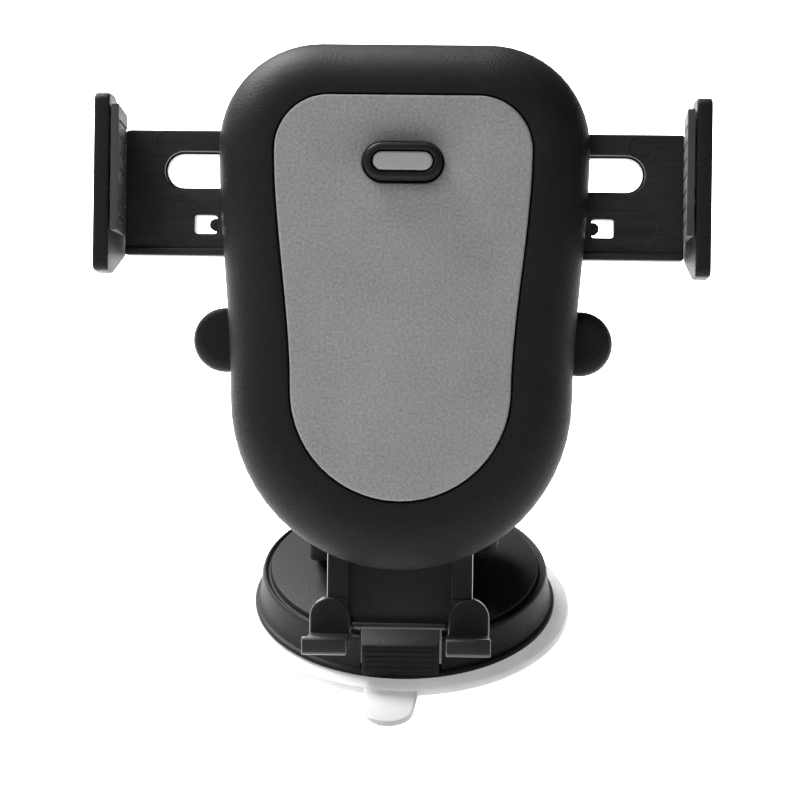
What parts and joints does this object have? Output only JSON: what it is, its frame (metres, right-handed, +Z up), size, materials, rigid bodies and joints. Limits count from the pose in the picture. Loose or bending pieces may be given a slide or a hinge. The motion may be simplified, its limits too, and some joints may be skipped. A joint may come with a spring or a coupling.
{
  "type": "car phone mount",
  "caption": "Suction-base dashboard phone holder with a swinging neck, ball joint, rack-coupled side jaws, trigger and sliding feet.",
  "frame": {"origin": "centre of the suction cup's underside, on the surface it grips", "axes": "+Z up, -Y towards the user in front of the cradle, +X to the user's right"},
  "size_m": [0.106, 0.0892, 0.1151],
  "materials": {
    "black_plastic": "fine moulded grain",
    "dark_plastic": "satin moulded",
    "grey_pad": "fine matt grain",
    "light_grey_plastic": "satin",
    "black_rubber": "soft matt",
    "milky_gel": "translucent, slightly glossy",
    "white_acetal": "smooth",
    "bright_steel": "zinc plated"
  },
  "bodies": {
    "base": {"suction_cup": "milky_gel", "base_housing": "black_plastic", "lever_pin": "bright_steel", "hinge_cap": "black_plastic", "hinge_bolt": "bright_steel", "friction_washer_left": "black_rubber", "friction_washer_right": "black_rubber"},
    "lever": {"lock_lever": "black_plastic"},
    "stud": {"cup_stud": "white_acetal"},
    "knob": {"hinge_knob": "black_plastic"},
    "neck": {"neck_arm": "black_plastic"},
    "ball_pad": {"ball_friction_pad": "black_rubber"},
    "ball_ring": {"ball_clamp_ring": "white_acetal"},
    "cradle": {"rear_cover": "black_plastic", "front_cover": "black_plastic", "front_pad": "grey_pad", "cover_screw_1": "bright_steel", "cover_screw_2": "bright_steel", "cover_screw_3": "bright_steel", "cover_screw_4": "bright_steel", "latch_pin": "bright_steel", "latch_spring": "bright_steel", "pinion_pin": "bright_steel"},
    "collar": {"collar_nut": "black_plastic"},
    "trigger": {"trigger_button": "black_plastic", "trigger_cap": "light_grey_plastic"},
    "latch": {"latch_rocker": "white_acetal"},
    "left_clamp": {"left_arm": "dark_plastic", "left_jaw": "black_plastic", "left_jaw_pad": "black_rubber", "right_release_button": "black_plastic", "left_spring": "bright_steel"},
    "right_clamp": {"right_arm": "dark_plastic", "right_jaw": "black_plastic", "right_jaw_pad": "black_rubber", "left_release_button": "black_plastic", "right_spring": "bright_steel"},
    "gear": {"pinion": "white_acetal"},
    "feet": {"foot_bracket": "black_plastic"}
  },
  "joints": [
    {"name": "lever_lift", "type": "hinge", "parent": "base", "child": "lever", "pos_m": [0, -0.0065, 0.0066], "axis": [-1, 0, 0], "range_deg": [0, 30]},
    {"name": "stud_drop", "type": "slide", "parent": "base", "child": "stud", "axis": [0, 0, -1], "range_m": [0, 0.002], "deforming": ["suction_cup"]},
    {"name": "knob_turn", "type": "hinge", "parent": "base", "child": "knob", "pos_m": [0, 0, 0.022], "axis": [-1, 0, 0], "range_deg": [0, 360]},
    {"name": "neck_lean", "type": "hinge", "parent": "base", "child": "neck", "pos_m": [0, 0, 0.022], "axis": [-1, 0, 0], "range_deg": [-5, 60]},
    {"name": "ball_tilt", "type": "hinge", "parent": "neck", "child": "ball_pad", "pos_m": [0, 0.00316, 0.06241], "axis": [-1, 0, 0], "range_deg": [-4, 46]},
    {"name": "ball_pan", "type": "hinge", "parent": "ball_pad", "child": "ball_ring", "pos_m": [0, 0.00316, 0.06241], "axis": [0, 0.4384, 0.8988], "range_deg": [-20, 20]},
    {"name": "ball_roll", "type": "hinge", "parent": "ball_ring", "child": "cradle", "pos_m": [0, 0.00316, 0.06241], "axis": [0, 0.8988, -0.4384], "range_deg": [-90, 90]},
    {"name": "collar_turn", "type": "hinge", "parent": "cradle", "child": "collar", "pos_m": [0, 0.00316, 0.06241], "axis": [0, 0.8988, -0.4384], "range_deg": [0, 90]},
    {"name": "trigger_press", "type": "slide", "parent": "cradle", "child": "trigger", "axis": [0, 0.8988, -0.4384], "range_m": [0, 0.0015], "stiffness_N_per_m": 400, "springref_m": -0.001},
    {"name": "latch_rock", "type": "hinge", "parent": "cradle", "child": "latch", "pos_m": [0, -0.01271, 0.08462], "axis": [-1, 0, 0], "range_deg": [0, 7.5], "deforming": ["latch_spring"]},
    {"name": "clamp_close", "type": "slide", "parent": "cradle", "child": "left_clamp", "axis": [1, 0, 0], "range_m": [0, 0.0155], "deforming": ["left_spring", "right_spring"]},
    {"name": "right_clamp_close", "type": "slide", "parent": "cradle", "child": "right_clamp", "axis": [-1, 0, 0], "range_m": [0, 0.0156]},
    {"name": "gear_spin", "type": "hinge", "parent": "cradle", "child": "gear", "pos_m": [0, -0.01659, 0.06526], "axis": [0, 0.8988, -0.4384], "range_deg": [0, 186]},
    {"name": "feet_slide", "type": "slide", "parent": "cradle", "child": "feet", "axis": [0, 0.4384, 0.8988], "range_m": [0, 0.009]}
  ],
  "couplings": [
    {"joint": "stud_drop", "follows": "lever_lift", "m_per_rad": 0.0038197},
    {"joint": "latch_rock", "follows": "trigger_press", "rad_per_m": 83.333},
    {"joint": "right_clamp_close", "follows": "clamp_close", "ratio": 1},
    {"joint": "gear_spin", "follows": "clamp_close", "rad_per_m": 208.33}
  ]
}
